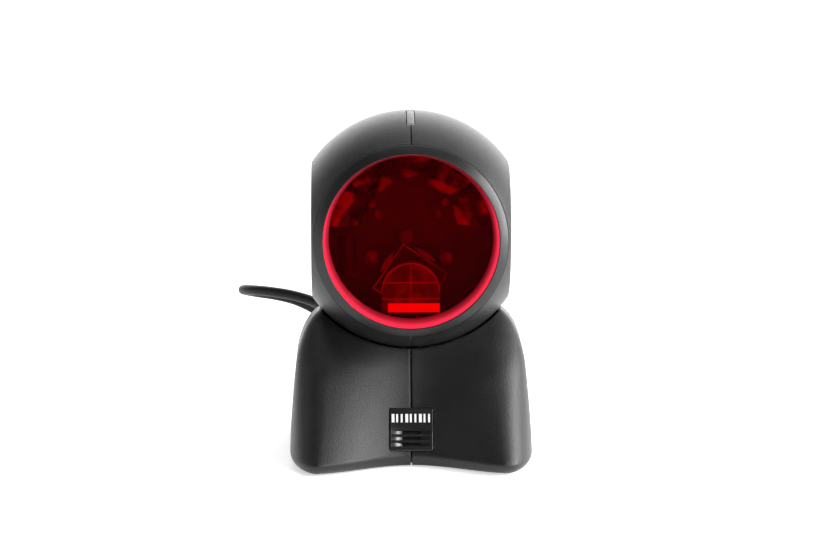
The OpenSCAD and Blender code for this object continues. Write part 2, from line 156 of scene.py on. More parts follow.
def closed_wall(name, outer, inner):
    """Joins two grids of the same size into one closed wall."""
    rows, cols = len(outer), len(outer[0])
    points = [p for grid in (outer, inner) for row in grid for p in row]

    def at(s, j, i):
        return s * rows * cols + j * cols + i

    faces = []
    for j in range(rows - 1):
        for i in range(cols - 1):
            faces.append((at(0, j, i), at(0, j, i + 1), at(0, j + 1, i + 1), at(0, j + 1, i)))
            faces.append((at(1, j, i), at(1, j + 1, i), at(1, j + 1, i + 1), at(1, j, i + 1)))
    for i in range(cols - 1):
        faces.append((at(0, 0, i), at(1, 0, i), at(1, 0, i + 1), at(0, 0, i + 1)))
        last = rows - 1
        faces.append((at(0, last, i), at(0, last, i + 1), at(1, last, i + 1), at(1, last, i)))
    for j in range(rows - 1):
        faces.append((at(0, j, 0), at(0, j + 1, 0), at(1, j + 1, 0), at(1, j, 0)))
        last = cols - 1
        faces.append((at(0, j, last), at(1, j, last), at(1, j + 1, last), at(0, j + 1, last)))
    return outward(mesh_of(name, points, faces))


def lathe(name, profile, segments=192):
    """Turns a closed profile of (radius, forward) points about the head's forward axis."""
    count = len(profile)
    points = []
    for k in range(segments):
        a = 2 * math.pi * k / segments
        points += [from_head(r * math.cos(a), r * math.sin(a), f) for r, f in profile]
    faces = []
    for k in range(segments):
        m = (k + 1) % segments
        for i in range(count):
            n = (i + 1) % count
            faces.append((k * count + i, k * count + n, m * count + n, m * count + i))
    return outward(mesh_of(name, points, faces))


def rounded(corners, radius, steps=4):
    """A closed outline with each corner rounded, as far as its sides allow."""
    out = []
    count = len(corners)
    for i in range(count):
        a, b, c = (Vector(corners[(i + k - 1) % count]) for k in range(3))
        room = min(radius, (a - b).length * 0.45, (c - b).length * 0.45)
        p, q = b + (a - b).normalized() * room, b + (c - b).normalized() * room
        for s in range(steps + 1):
            t = s / steps
            out.append(tuple(p * (1 - t) ** 2 + b * 2 * t * (1 - t) + q * t * t))
    return out


def from_head(x, y, z):
    """Head axes (x right, y up, z forward, from the ball's middle) to the model's own."""
    return CENTRE + Vector((x, -z, y))


# ---------------------------------------------------------------- materials
def node_material(name):
    material = bpy.data.materials.new(name)
    material.use_nodes = True
    tree = material.node_tree
    tree.nodes.clear()
    out = tree.nodes.new("ShaderNodeOutputMaterial")
    shader = tree.nodes.new("ShaderNodeBsdfPrincipled")
    tree.links.new(shader.outputs[0], out.inputs[0])
    return material, tree, shader


def noise(tree, scale, detail=2.0, stretch=(1, 1, 1)):
    coords = tree.nodes.new("ShaderNodeTexCoord")
    place = tree.nodes.new("ShaderNodeMapping")
    place.inputs["Scale"].default_value = stretch
    tex = tree.nodes.new("ShaderNodeTexNoise")
    tex.inputs["Scale"].default_value = scale
    tex.inputs["Detail"].default_value = detail
    tree.links.new(coords.outputs["Object"], place.inputs[0])
    tree.links.new(place.outputs[0], tex.inputs["Vector"])
    return tex.outputs["Fac"]


def ramp(tree, fac, stops):
    node = tree.nodes.new("ShaderNodeValToRGB")
    elements = node.color_ramp.elements
    while len(elements) < len(stops):
        elements.new(0.5)
    for element, (at, colour) in zip(elements, stops):
        element.position = at
        element.color = (*colour, 1) if isinstance(colour, tuple) else (colour, colour, colour, 1)
    tree.links.new(fac, node.inputs[0])
    return node.outputs[0]


def bump(tree, height, strength, distance_mm, normal=None):
    node = tree.nodes.new("ShaderNodeBump")
    node.inputs["Strength"].default_value = strength
    node.inputs["Distance"].default_value = distance_mm * MM
    tree.links.new(height, node.inputs["Height"])
    if normal:
        tree.links.new(normal, node.inputs["Normal"])
    return node.outputs[0]


def surface(name, dark, light, rough, grain_mm, grain=0.3, depth_mm=0.05, metal=0.0, specular=0.5,
            mottle_mm=9.0, stretch=(1, 1, 1), coat=0.0):
    """Moulded, cast or rolled stuff: colour varies a little, and a fine grain roughens it."""
    material, tree, shader = node_material(name)
    mottle = noise(tree, 1 / (mottle_mm * MM), 3)
    fine = noise(tree, 1 / (grain_mm * MM), 2, stretch)
    tree.links.new(ramp(tree, mottle, [(0.3, dark), (0.7, light)]), shader.inputs["Base Color"])
    tree.links.new(ramp(tree, fine, [(0.25, rough[0]), (0.75, rough[1])]), shader.inputs["Roughness"])
    tree.links.new(bump(tree, fine, grain, depth_mm), shader.inputs["Normal"])
    shader.inputs["Metallic"].default_value = metal
    shader.inputs["Specular IOR Level"].default_value = specular
    shader.inputs["Coat Weight"].default_value = coat
    return material


# Heights above the ball's middle between which the rim's painted glow fades out
FADE_FROM, FADE_TO = 6, 31


def painted_glow(name, base, glow, strength, rough, dark_y=None, bright_y=None):
    """Tinted plastic with a painted glow: emission stands in for light carried through it. Given two
    depths, the painted glow fades between them, and upward.
    """
    material, tree, shader = node_material(name)
    streaks = noise(tree, 1 / (6 * MM), 2)
    tree.links.new(ramp(tree, streaks, [(0.3, base), (0.7, tuple(c * 0.85 for c in base))]),
                   shader.inputs["Base Color"])
    shader.inputs["Roughness"].default_value = rough
    shader.inputs["Emission Color"].default_value = (*glow, 1)
    shader.inputs["Emission Strength"].default_value = strength
    if dark_y is not None:
        coords = tree.nodes.new("ShaderNodeTexCoord")
        split = tree.nodes.new("ShaderNodeSeparateXYZ")
        depth = tree.nodes.new("ShaderNodeMapRange")
        depth.inputs["From Min"].default_value = dark_y * MM
        depth.inputs["From Max"].default_value = bright_y * MM
        height = tree.nodes.new("ShaderNodeMapRange")
        height.inputs["From Min"].default_value = (CENTRE.z + FADE_FROM) * MM
        height.inputs["From Max"].default_value = (CENTRE.z + FADE_TO) * MM
        height.inputs["To Min"].default_value = 1
        height.inputs["To Max"].default_value = 0.0
        both = tree.nodes.new("ShaderNodeMath")
        both.operation = "MULTIPLY"
        tree.links.new(coords.outputs["Object"], split.inputs[0])
        tree.links.new(split.outputs["Y"], depth.inputs["Value"])
        tree.links.new(split.outputs["Z"], height.inputs["Value"])
        tree.links.new(depth.outputs[0], both.inputs[0])
        tree.links.new(height.outputs[0], both.inputs[1])
        shares = ((0, 0.05), (0.4, 0.3), (0.85, 1))
        stops = [(at, tuple(c * share for c in glow)) for at, share in shares]
        tree.links.new(ramp(tree, both.outputs[0], stops), shader.inputs["Emission Color"])
    return material


def tinted_window(name, tint, rough):
    """A clear tinted pane: it lets tinted light through and reflects at its surface."""
    material = bpy.data.materials.new(name)
    material.use_nodes = True
    tree = material.node_tree
    tree.nodes.clear()
    out = tree.nodes.new("ShaderNodeOutputMaterial")
    mix = tree.nodes.new("ShaderNodeMixShader")
    through = tree.nodes.new("ShaderNodeBsdfTransparent")
    gloss = tree.nodes.new("ShaderNodeBsdfGlossy")
    fresnel = tree.nodes.new("ShaderNodeFresnel")
    through.inputs["Color"].default_value = (*tint, 1)
    gloss.inputs["Color"].default_value = (0.30, 0.01, 0.02, 1)
    gloss.inputs["Roughness"].default_value = rough
    fresnel.inputs["IOR"].default_value = 1.4
    tree.links.new(fresnel.outputs[0], mix.inputs[0])
    tree.links.new(through.outputs[0], mix.inputs[1])
    tree.links.new(gloss.outputs[0], mix.inputs[2])
    tree.links.new(mix.outputs[0], out.inputs[0])
    return material


SHELL = surface("shell_black", (0.009, 0.009, 0.0095), (0.012, 0.012, 0.0125), (0.29, 0.41),
                grain_mm=0.42, grain=1.0, depth_mm=0.16, specular=0.42)
BEZEL = surface("bezel_black", (0.009, 0.009, 0.0095), (0.012, 0.012, 0.0125), (0.30, 0.38),
                grain_mm=0.3, grain=0.1, depth_mm=0.03, specular=0.4)
BADGE = surface("badge_gloss", (0.014, 0.014, 0.0145), (0.018, 0.018, 0.0185), (0.14, 0.2),
                grain_mm=0.5, grain=0.05, depth_mm=0.02, specular=0.5)
PRINT = surface("print_white", (0.78, 0.78, 0.78), (0.85, 0.85, 0.85), (0.45, 0.6),
                grain_mm=0.2, grain=0.1)
FROSTED = surface("light_frosted", (0.12, 0.124, 0.128), (0.27, 0.275, 0.28), (0.35, 0.45),
                  grain_mm=0.3, grain=0.1, mottle_mm=0.9, specular=0.3)
CHASSIS = surface("chassis_moulding", (0.022, 0.022, 0.022), (0.06, 0.06, 0.06), (0.3, 0.5),
                  grain_mm=0.6, grain=0.2)
TRANSLUCENT_PAINTED_GLINTS = surface("moulding_clear_painted_glints", (0.12, 0.10, 0.10), (0.26, 0.22, 0.22), (0.15, 0.3),
                      grain_mm=1.5, grain=0.4, depth_mm=0.2, mottle_mm=4)
BOARD = surface("board_green", (0.01, 0.10, 0.04), (0.015, 0.14, 0.06), (0.3, 0.45),
                grain_mm=0.8, grain=0.3)
CHIP = surface("chip_black", (0.015, 0.015, 0.015), (0.02, 0.02, 0.02), (0.5, 0.6), grain_mm=0.2)
STEEL = surface("steel_plated", (0.50, 0.50, 0.51), (0.60, 0.60, 0.61), (0.25, 0.4),
                grain_mm=0.25, grain=0.2, metal=1.0)
STEEL_DARK = surface("steel_blackened", (0.05, 0.05, 0.05), (0.09, 0.09, 0.09), (0.3, 0.45),
                     grain_mm=0.25, grain=0.2, metal=1.0)
BRASS = surface("brass", (0.60, 0.42, 0.18), (0.70, 0.50, 0.24), (0.25, 0.4), grain_mm=0.3, metal=1.0)
COPPER = surface("copper_wire", (0.55, 0.24, 0.12), (0.65, 0.30, 0.15), (0.25, 0.35),
                 grain_mm=0.3, metal=1.0, stretch=(1, 8, 1))
MIRROR = surface("mirror_coat", (0.80, 0.80, 0.82), (0.86, 0.86, 0.88), (0.02, 0.06),
                 grain_mm=2.0, grain=0.02, depth_mm=0.02, metal=1.0)
ACETAL = surface("acetal_white", (0.70, 0.70, 0.67), (0.76, 0.76, 0.73), (0.3, 0.4), grain_mm=0.4)
CAST = surface("cast_ballast", (0.10, 0.10, 0.105), (0.16, 0.16, 0.165), (0.5, 0.7),
               grain_mm=1.2, grain=0.6, depth_mm=0.2, metal=0.7)
RUBBER = surface("rubber_black", (0.012, 0.012, 0.012), (0.018, 0.018, 0.018), (0.6, 0.75), grain_mm=0.3)
JACKET = surface("cord_jacket", (0.008, 0.008, 0.009), (0.011, 0.011, 0.012), (0.4, 0.5),
                 grain_mm=0.5, grain=0.12, depth_mm=0.04, specular=0.2)
FOIL = surface("label_foil", (0.42, 0.42, 0.43), (0.5, 0.5, 0.51), (0.35, 0.5), grain_mm=0.5, metal=0.6)
# painted glow: the window rim's emission, brightest towards the front and fading upward, stands in for
# light carried round the rim
RIM_PAINTED_GLOW = painted_glow("rim_red", (0.22, 0.005, 0.015), (1.0, 0.032, 0.075), 1.0, 0.25, -22.5, -31.5)
# painted glow: the filter bar's emission stands in for light
BAR_PAINTED_GLOW = painted_glow("bar_red_painted_glow", (0.95, 0.25, 0.25), (1.0, 0.12, 0.12), 1.3, 0.3)
# painted highlight: glowing strips for the spinning square's bright edges
PAINTED_EDGE_HIGHLIGHT = painted_glow("painted_edge_highlight", (0.6, 0.10, 0.08), (1.0, 0.10, 0.06), 0.75, 0.3)
# painted glow: the collector's ribs, dimmer
RIB_PAINTED_GLOW = painted_glow("rib_red_painted_glow", (0.5, 0.08, 0.08), (1.0, 0.12, 0.12), 0.4, 0.3)
# a mirror that gets painted glints below
MIRROR_PAINTED_GLINTS = surface("mirror_painted_glints", (0.70, 0.70, 0.72), (0.86, 0.86, 0.88), (0.02, 0.08),
                     grain_mm=2.0, grain=0.02, depth_mm=0.02, metal=1.0)


def add_painted_glints(material, size_mm, strength):
    """Painted glints: soft emission patches that stand for scattered laser light falling on a mirror."""
    tree = material.node_tree
    shader = next(n for n in tree.nodes if n.type == "BSDF_PRINCIPLED")
    patches = noise(tree, 1 / (size_mm * MM), 1)
    glints = ramp(tree, patches, [(0.52, 0.0), (0.66, (1.0, 0.15, 0.12))])
    tree.links.new(glints, shader.inputs["Emission Color"])
    shader.inputs["Emission Strength"].default_value = strength


# painted glints: emission patches on the pattern mirrors and on the clear mouldings
add_painted_glints(MIRROR_PAINTED_GLINTS, 9, 0.32)
add_painted_glints(TRANSLUCENT_PAINTED_GLINTS, 5, 0.12)
WINDOW_RED = tinted_window("window_red", (0.75, 0.01, 0.03), 0.03)


# ---------------------------------------------------------------- camera, light and floor
def studio():
    scene = bpy.context.scene
    aim = mm(1.05, 0, 77.1)
    elevation, azimuth, distance = math.radians(11), math.radians(-1), 1.2
    away = Vector((math.sin(azimuth) * math.cos(elevation), -math.cos(azimuth) * math.cos(elevation),
                   math.sin(elevation)))
    data = bpy.data.cameras.new("camera")
    # the picture is this wide, in metres, where the camera is aimed
    frame_width = 0.3585
    data.sensor_width = 36
    data.lens = data.sensor_width * distance / frame_width
    camera = bpy.data.objects.new("camera", data)
    camera.location = aim + away * distance
    camera.rotation_euler = (-away).to_track_quat("-Z", "Y").to_euler()
    scene.collection.objects.link(camera)
    scene.camera = camera

    world = bpy.data.worlds.new("studio")
    world.use_nodes = True
    tree = world.node_tree
    direction = tree.nodes.new("ShaderNodeTexCoord")
    split = tree.nodes.new("ShaderNodeSeparateXYZ")
    back, right = (tree.nodes.new("ShaderNodeMath") for _ in range(2))
    for node, weight in ((back, 0.5), (right, 0.12)):
        node.operation = "MULTIPLY_ADD"
        node.inputs[1].default_value = weight
    back.inputs[2].default_value = 0.5
    tree.links.new(direction.outputs["Generated"], split.inputs[0])
    tree.links.new(split.outputs["Y"], back.inputs[0])
    tree.links.new(split.outputs["X"], right.inputs[0])
    tree.links.new(back.outputs[0], right.inputs[2])
    # dark in front, white behind, and a little lighter on the right
    stops = [(0.0, 0.015), (0.5, 0.02), (0.68, 0.08), (0.82, 0.5), (0.93, 1.0)]
    tree.links.new(ramp(tree, right.outputs[0], stops), tree.nodes["Background"].inputs[0])
    tree.nodes["Background"].inputs[1].default_value = 3.0
    scene.world = world
    scene.view_settings.view_transform = "Standard"

    def softbox(name, place, size, power, aim_at=(0, 0, 0.07)):
        light = bpy.data.lights.new(name, "AREA")
        light.shape = "RECTANGLE"
        light.size, light.size_y = size
        light.energy = power
        lamp = bpy.data.objects.new(name, light)
        lamp.location = place
        lamp.rotation_euler = (Vector(aim_at) - Vector(place)).to_track_quat("-Z", "Y").to_euler()
        scene.collection.objects.link(lamp)

    softbox("right_box", (0.8, -0.15, 0.25), (0.25, 0.6), 11)
    softbox("ridge_box", (0.75, -0.35, 0.5), (0.18, 0.28), 2.2)
    softbox("key_box", (0.46, -0.86, 0.42), (0.1, 0.14), 4.0)
    softbox("left_box", (-0.8, -0.1, 0.3), (0.25, 0.6), 0.6)
    softbox("top_strip", (0.0, -0.12, 0.95), (0.7, 0.06), 2)

    floor_mesh = bpy.data.meshes.new("floor")
    floor_mesh.from_pydata([(-6, -3, 0), (6, -3, 0), (6, 9, 0), (-6, 9, 0)], [], [(0, 1, 2, 3)])
    floor = bpy.data.objects.new("floor", floor_mesh)
    scene.collection.objects.link(floor)
    pale = surface("floor_pale", (0.95, 0.95, 0.95), (0.96, 0.96, 0.96), (0.7, 0.8),
                   grain_mm=3, grain=0.02, specular=0.1)
    shader = next(n for n in pale.node_tree.nodes if n.type == "BSDF_PRINCIPLED")
    shader.inputs["Emission Color"].default_value = (1, 1, 1, 1)
    shader.inputs["Emission Strength"].default_value = 0.55
    floor_mesh.materials.append(pale)


studio()

# ---------------------------------------------------------------- cord
CORD_D = 4.5
TIE_T = 0.8
EXIT_AT = Vector((-27, 19.8, 49.6))
EXIT_DIR = Vector((-0.57, 0.765, 0.3)).normalized()
BOOT_LENGTH = 22
CORD_POINTS = [
    (-51, 47, 58.5), (-61.5, 54, 59), (-70.5, 62, 58.3), (-75.5, 72, 56.5), (-75, 82.5, 54),
    (-70, 91, 51.3), (-62, 97, 48.8), (-53, 101.2, 45.6), (-44.5, 105, 40.8), (-36.5, 109, 34.3),
    (-29, 113.6, 26.5), (-21.5, 118.5, 17.8), (-13.2, 122.9, 10.3), (-3.5, 126, 5.2),
]
COIL_AT = Vector((8, 94, 0))
COIL_R = 26.5
PLUG_AT = Vector((12, 115, TIE_T + 3 * CORD_D))


def smooth_step(t):
    t = max(0.0, min(1.0, t))
    return t * t * (3 - 2 * t)


def coil_points():
    """The coil's turns, clockwise from the far side: in, out and in again, then on top to the plug."""
    columns = [COIL_R + (1.5 - j) * CORD_D for j in range(4)]
    order = [(j, 0) for j in range(4)] + [(j, 1) for j in range(3, -1, -1)] + [(0, 2), (1, 2)]
    steps = 20
    points = []
    for turn, (column, layer) in enumerate(order):
        after = order[min(turn + 1, len(order) - 1)]
        for s in range(steps):
            t = s / steps
            shift = smooth_step((t - 0.35) / 0.65)
            r = columns[column] + (columns[after[0]] - columns[column]) * shift
            z = TIE_T + CORD_D * (0.5 + layer + (after[1] - layer) * shift)
            a = math.radians(90 - 360 * t)
            points.append(COIL_AT + Vector((r * math.cos(a), r * math.sin(a), z)))
    # the last turn climbs over the others and meets the plug's back in a smaller circle
    plug_back = PLUG_AT + Vector((-15, 0, 3.8))
    small_r = 20
    small = Vector((plug_back.x, plug_back.y - small_r, 0))
    apart = small - COIL_AT
    last_r = small_r + apart.length
    meet = math.degrees(math.atan2(apart.y, apart.x)) - 360
    top = TIE_T + CORD_D * 3.5
    steps = 17
    for s in range(steps):
        t = s / steps
        a = math.radians(90 + (meet - 90) * t)
        r = columns[1] + (last_r - columns[1]) * smooth_step(t / 0.8)
        z = top - CORD_D * (1 - smooth_step((t - 0.2) / 0.5))
        points.append(COIL_AT + Vector((r * math.cos(a), r * math.sin(a), z)))
    for s in range(4):
        t = s / 4
        a = math.radians(meet + 360 + (90 - meet - 360) * t)
        points.append(small + Vector((small_r * math.cos(a), small_r * math.sin(a),
                                      top + (plug_back.z - top) * smooth_step(t))))
    points.append(plug_back)
    return points


def cord():
    start = EXIT_AT + EXIT_DIR * 2
    boot_end = EXIT_AT + EXIT_DIR * (2 + BOOT_LENGTH)
    points = [start, start + EXIT_DIR * 11, boot_end]
    points += [Vector(p) for p in CORD_POINTS] + coil_points()
    curve = bpy.data.curves.new("cord", "CURVE")
    curve.dimensions = "3D"
    curve.bevel_depth = CORD_D / 2 * MM
    curve.bevel_resolution = 5
    curve.use_fill_caps = True
    spline = curve.splines.new("BEZIER")
    spline.bezier_points.add(len(points) - 1)
    for i, (knot, p) in enumerate(zip(spline.bezier_points, points)):
        before, after = points[max(i - 1, 0)], points[min(i + 1, len(points) - 1)]
        lean = (after - before) / 6
        knot.co = p * MM
        knot.handle_left = (p - lean) * MM
        knot.handle_right = (p + lean) * MM
    spline.resolution_u = 5
    curve.materials.append(JACKET)
    obj = bpy.data.objects.new("cord", curve)
    bpy.context.scene.collection.objects.link(obj)
    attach(obj, "stand")
    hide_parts("cord_run", "cord_coil")
    return obj


def along_exit(distance):
    return EXIT_AT + EXIT_DIR * distance


def tube(name, rings, material, body, sides=32):
    """A closed tube through (centre, direction, radius) rings, in millimetres."""
    points, faces = [], []
    for centre, direction, radius in rings:
        u = direction.cross(Vector((0.31, 0.17, 1))).normalized()
        v = direction.cross(u)
        for k in range(sides):
            a = 2 * math.pi * k / sides
            points.append(centre + radius * (math.cos(a) * u + math.sin(a) * v))
    for i in range(len(rings) - 1):
        for k in range(sides):
            m = (k + 1) % sides
            faces.append((i * sides + k, i * sides + m, (i + 1) * sides + m, (i + 1) * sides + k))
    faces.append(tuple(range(sides)))
    faces.append(tuple((len(rings) - 1) * sides + k for k in reversed(range(sides))))
    obj = new_object(name, outward(mesh_of(name, points, faces)), material, body)
    return sharp_shading(obj, 40)


def strain_relief():
    """A tapered boot with ribs."""
    rings = [(along_exit(at), EXIT_DIR, radius) for at, radius in ((2, 3.0), (2, 3.9), (3.6, 3.9))]
    ribs = 6
    pitch = 2.9
    for i in range(ribs):
        at = 3.9 + i * pitch
        outer = 3.8 - 0.16 * i
        for offset, radius in ((0, outer - 0.75), (0.9, outer - 0.8), (1.1, outer), (2.6, outer - 0.06)):
            rings.append((along_exit(at + offset), EXIT_DIR, radius))
    rings += [(along_exit(21.4), EXIT_DIR, 2.75), (along_exit(23.6), EXIT_DIR, 2.6),
              (along_exit(24), EXIT_DIR, 2.3)]
    obj = tube("boot", rings, RUBBER, "stand")
    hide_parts("strain_relief")
    return obj


def cord_tie():
    """A hook-and-loop strap round the coil."""
    w, h, t, wide = 4.2 * CORD_D + 0.8, 3 * CORD_D, TIE_T, 8
    reach = w / 2 + t
    outer = rounded([(-reach, 0), (reach, 0), (reach, h + 2 * t), (-reach, h + 2 * t)], 2.6, 6)
    inner = rounded([(-w / 2, t), (w / 2, t), (w / 2, h + t), (-w / 2, h + t)], 1.9, 6)
    a = math.radians(320)
    out, along = Vector((math.cos(a), math.sin(a), 0)), Vector((-math.sin(a), math.cos(a), 0))
    rows = []
    for ring in (outer, inner):
        rows.append([[COIL_AT + out * (COIL_R - 0.3 + p[0]) + along * s + Vector((0, 0, p[1]))
                      for p in ring + ring[:1]] for s in (-wide / 2, wide / 2)])
    mesh = closed_wall("tie", rows[0], rows[1])
    obj = new_object("tie", mesh, RUBBER, "stand")
    bevel(obj, 0.25, 2)
    sharp_shading(obj)
    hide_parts("cord_tie")
    return obj


def box_mesh(name, low, high):
    bm = bmesh.new()
    bmesh.ops.create_cube(bm, size=1)
    low, high = Vector(low), Vector(high)
    for v in bm.verts:
        v.co = Vector([(low[k] + (v.co[k] + 0.5) * (high[k] - low[k])) * MM for k in range(3)])
    mesh = bpy.data.meshes.new(name)
    bm.to_mesh(mesh)
    bm.free()
    return mesh


def plug():
    """An overmoulded plug's grip: soft-cornered, with finger ridges. Its metal shell is the CAD's own.
    """
    grip = new_object("plug_body", box_mesh("plug_body", PLUG_AT + Vector((-15, -7.5, 0)),
                                            PLUG_AT + Vector((15, 7.5, 7.6))), RUBBER, "stand")
    bevel(grip, 2.2, 5)
    for k in range(5):
        x = PLUG_AT.x - 9 + 3 * k
        ridge = bpy.data.objects.new("groove", box_mesh("groove", (x, PLUG_AT.y - 5, PLUG_AT.z + 7.1),
                                                        (x + 1.2, PLUG_AT.y + 5, PLUG_AT.z + 9)))
        bpy.context.scene.collection.objects.link(ridge)
        cut(grip, ridge)
    sharp_shading(grip)
    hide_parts("plug_grip")
    return grip


cord_piece = cord()
boot = strain_relief()
tie = cord_tie()
plug_body = plug()


# ---------------------------------------------------------------- stand shells
def shoulder(z):
    """Falls from 1 to 0 over the height of the shoulders."""
    return math.sqrt(max(0, 1 - (max(z - SHOULDER_Z, 0) / SHOULDER_H) ** 2))


def half_width(z):
    """Half the stand's width at height z."""
    drawn_in = (max(min(z, SHOULDER_Z) - SIDE_FROM, 0) / (SHOULDER_Z - SIDE_FROM)) ** 1.5
    return (STAND_X - SIDE_IN * drawn_in
            - SIDE_LEAN * max(z - SHOULDER_Z, 0) - SHOULDER_W * (1 - shoulder(z)))


def half_depth(z):
    """Half the stand's depth at height z, at its lobes."""
    slope = FRONT_IN * max(z - FRONT_FROM, 0) / FRONT_RUN
    return TOP_DEPTH + (STAND_Y - TOP_DEPTH - slope) * shoulder(z)


def dent(z):
    """Depth of the hollow in the front and back at height z."""
    return STAND_DENT * (1 - (z / SKIN_TOP) ** HOLLOW_POWER)


def crease_x(z):
    """Where the hollow meets the lobe at height z."""
    return CREASE_AT - CREASE_IN * z / SKIN_TOP


def foot_inset(z):
    """How far the lower edge is drawn in at height z."""
    k = 1 - (z - SHELL_Z0) / FOOT_ROUND
    return 0 if k <= 0 else FOOT_ROUND * (1 - math.sqrt(1 - k * k))


FRONT_STEPS, CORNER_STEPS, SIDE_STEPS = 26, 30, 10


def outline(z, inset):
    """Right half of the stand's outline at height z, from the front seam to the back seam."""
    edge = foot_inset(z)
    a, b = half_width(z) - inset - edge, half_depth(z) - inset - edge
    crease = crease_x(z) - inset * 0.4
    mid = half_depth(z) - dent(z) - inset - edge * 0.3
    rx, ry = a - crease - 1.5, b * 0.5
    corner = []
    for i in range(CORNER_STEPS + 1):
        t = math.radians(-8 + 98 * i / CORNER_STEPS)
        corner.append((a - rx + rx * math.sin(t), ry - b - ry * math.cos(t)))
    cx, cy = corner[0]
    front = []
    for i in range(FRONT_STEPS):
        k = i / FRONT_STEPS
        front.append((cx * k, -mid - (-cy - mid) * (1 + HOLLOW_BLEND * (1 - k)) * k * k))
    side = [(a, (ry - b) * (1 - k / SIDE_STEPS)) for k in range(1, SIDE_STEPS + 1)]
    half = front + corner + side
    return half + [(x, -y) for x, y in reversed(half[:-1])]


def stand_point(z, inset, i, memo={}):
    key = (round(z, 6), inset)
    if key not in memo:
        memo[key] = outline(z, inset)
    x, y = memo[key][i]
    return Vector((max(x, STAND_SEAM / 2), y, z))


def rim_z(inset, i):
    """Height at which line i of the skin meets the seat sphere."""
    low, high = 30.0, 63.9
    for _ in range(16):
        middle = (low + high) / 2
        if (Vector((*outline(middle, inset)[i], middle)) - CENTRE).length > SEAT_R:
            low = middle
        else:
            high = middle
    return (low + high) / 2


def stand_skin(inset):
    """Grid of points over the right half of the stand, from its foot to the seat."""
    count = len(outline(10, 0))
    tops = [rim_z(inset, i) for i in range(count)]
    foot_rows, rows = 8, 56
    grid = []
    for j in range(foot_rows):
        z = SHELL_Z0 + FOOT_ROUND * (j / foot_rows) ** 1.5
        grid.append([stand_point(z, inset, i) for i in range(count)])
    z0 = SHELL_Z0 + FOOT_ROUND
    for j in range(rows + 1):
        row = []
        for i in range(count):
            z = z0 + (tops[i] - z0) * j / rows
            x, y = outline(z, inset)[i]
            row.append(Vector((max(x, STAND_SEAM / 2), y, z)))
        grid.append(row)
    return grid


BADGE_W, BADGE_H, BADGE_Z, BADGE_DEPTH, BADGE_TILT = 18.8, 18.4, 15.8, 31.2, math.radians(22.7)
PLATE_FRONT, PLATE_BACK = -0.9, 1.7
LOUVRE_Z, LOUVRE_PITCH = -1.3, 2.6


def on_badge(x, y, z):
    """Badge axes (x right, y into the stand, z up its slope) to the model's own."""
    c, s = math.cos(BADGE_TILT), math.sin(BADGE_TILT)
    return Vector((x, -BADGE_DEPTH + y * c + z * s, BADGE_Z - y * s + z * c))


def prism(name, outline_xz, y0, y1, to_model):
    """A closed prism of an outline between two depths, in a part's own axes."""
    count = len(outline_xz)
    points = [to_model(x, y0, z) for x, z in outline_xz] + [to_model(x, y1, z) for x, z in outline_xz]
    faces = [tuple(range(count)), tuple(reversed(range(count, 2 * count)))]
    faces += [(i, (i + 1) % count, count + (i + 1) % count, count + i) for i in range(count)]
    return outward(mesh_of(name, points, faces))


def loose(name, mesh):
    obj = bpy.data.objects.new(name, mesh)
    bpy.context.scene.collection.objects.link(obj)
    return obj


def rectangle(w, h, radius, steps=5):
    return rounded([(-w / 2, -h / 2), (w / 2, -h / 2), (w / 2, h / 2), (-w / 2, h / 2)], radius, steps)


def mirror_x(grid):
    return [[Vector((-p.x, p.y, p.z)) for p in row] for row in grid]


def stand_shells():
    outer, inner = stand_skin(0), stand_skin(WALL)
    for side, grids in (("right", (outer, inner)), ("left", (mirror_x(outer), mirror_x(inner)))):
        name = f"stand_{side}_skin"
        obj = new_object(name, closed_wall(name, *grids), SHELL, "stand")
        bevel(obj, 0.14, 2, 40)
        hole = prism("hole", rectangle(BADGE_W + 0.4, BADGE_H + 0.4, 1.2), -8, 8, on_badge)
        cut(obj, loose("hole", hole))
        if side == "left":
            drill = [(along_exit(d), EXIT_DIR, 4) for d in (-8, 8)]
            cut(obj, tube("drill", drill, None, None))
        sharp_shading(obj, 40)
        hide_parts(f"stand_{side}_shell")


def badge():
    """The name plate: a bevelled plate with three louvres, and a gauze behind them."""
    slab = prism("badge_plate", rectangle(BADGE_W, BADGE_H, 1.2), PLATE_FRONT, PLATE_BACK, on_badge)
    plate = new_object("badge_plate", slab, BADGE, "stand")
    bevel(plate, 0.35, 3, 50)
    for i in range(3):
        z = LOUVRE_Z - i * LOUVRE_PITCH
        # a shallow scoop with a ramp at each end, open in the middle
        reach, depth = 8.5, 1.5
        r = (reach ** 2 + depth ** 2) / (2 * depth)
        scoop = [(x, y + PLATE_FRONT + depth - r) for x, y in arc(0, 0, r + 0.01, 60, 120, 40)]
        points = [on_badge(x, y, z + h) for h in (-0.75, 0.75) for x, y in scoop + [(-9, -6), (9, -6)]]
        count = len(points) // 2
        faces = [tuple(range(count)), tuple(reversed(range(count, 2 * count)))]
        faces += [(k, (k + 1) % count, count + (k + 1) % count, count + k) for k in range(count)]
        slot = prism("slot", [(x, z + h) for x, h in rectangle(8, 1.5, 0.3, 4)], -4, 4, on_badge)
        cut(plate, loose("scoop", outward(mesh_of("scoop", points, faces))), loose("slot", slot))
    sharp_shading(plate)
    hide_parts("badge")
    backing = new_object("badge_grille", prism("badge_grille", rectangle(18, 9, 1), 1.75, 1.85,
                                               lambda x, y, z: on_badge(x, y, z - 3.9)), BADGE, "stand")
    sharp_shading(backing)


# ---------------------------------------------------------------- head shells
def arc(x0, y0, radius, from_angle, to_angle, steps):
    """Points of an arc; angles are in degrees from the x axis."""
    angles = [math.radians(from_angle + (to_angle - from_angle) * k / steps) for k in range(steps + 1)]
    return [(x0 + radius * math.cos(a), y0 + radius * math.sin(a)) for a in angles]


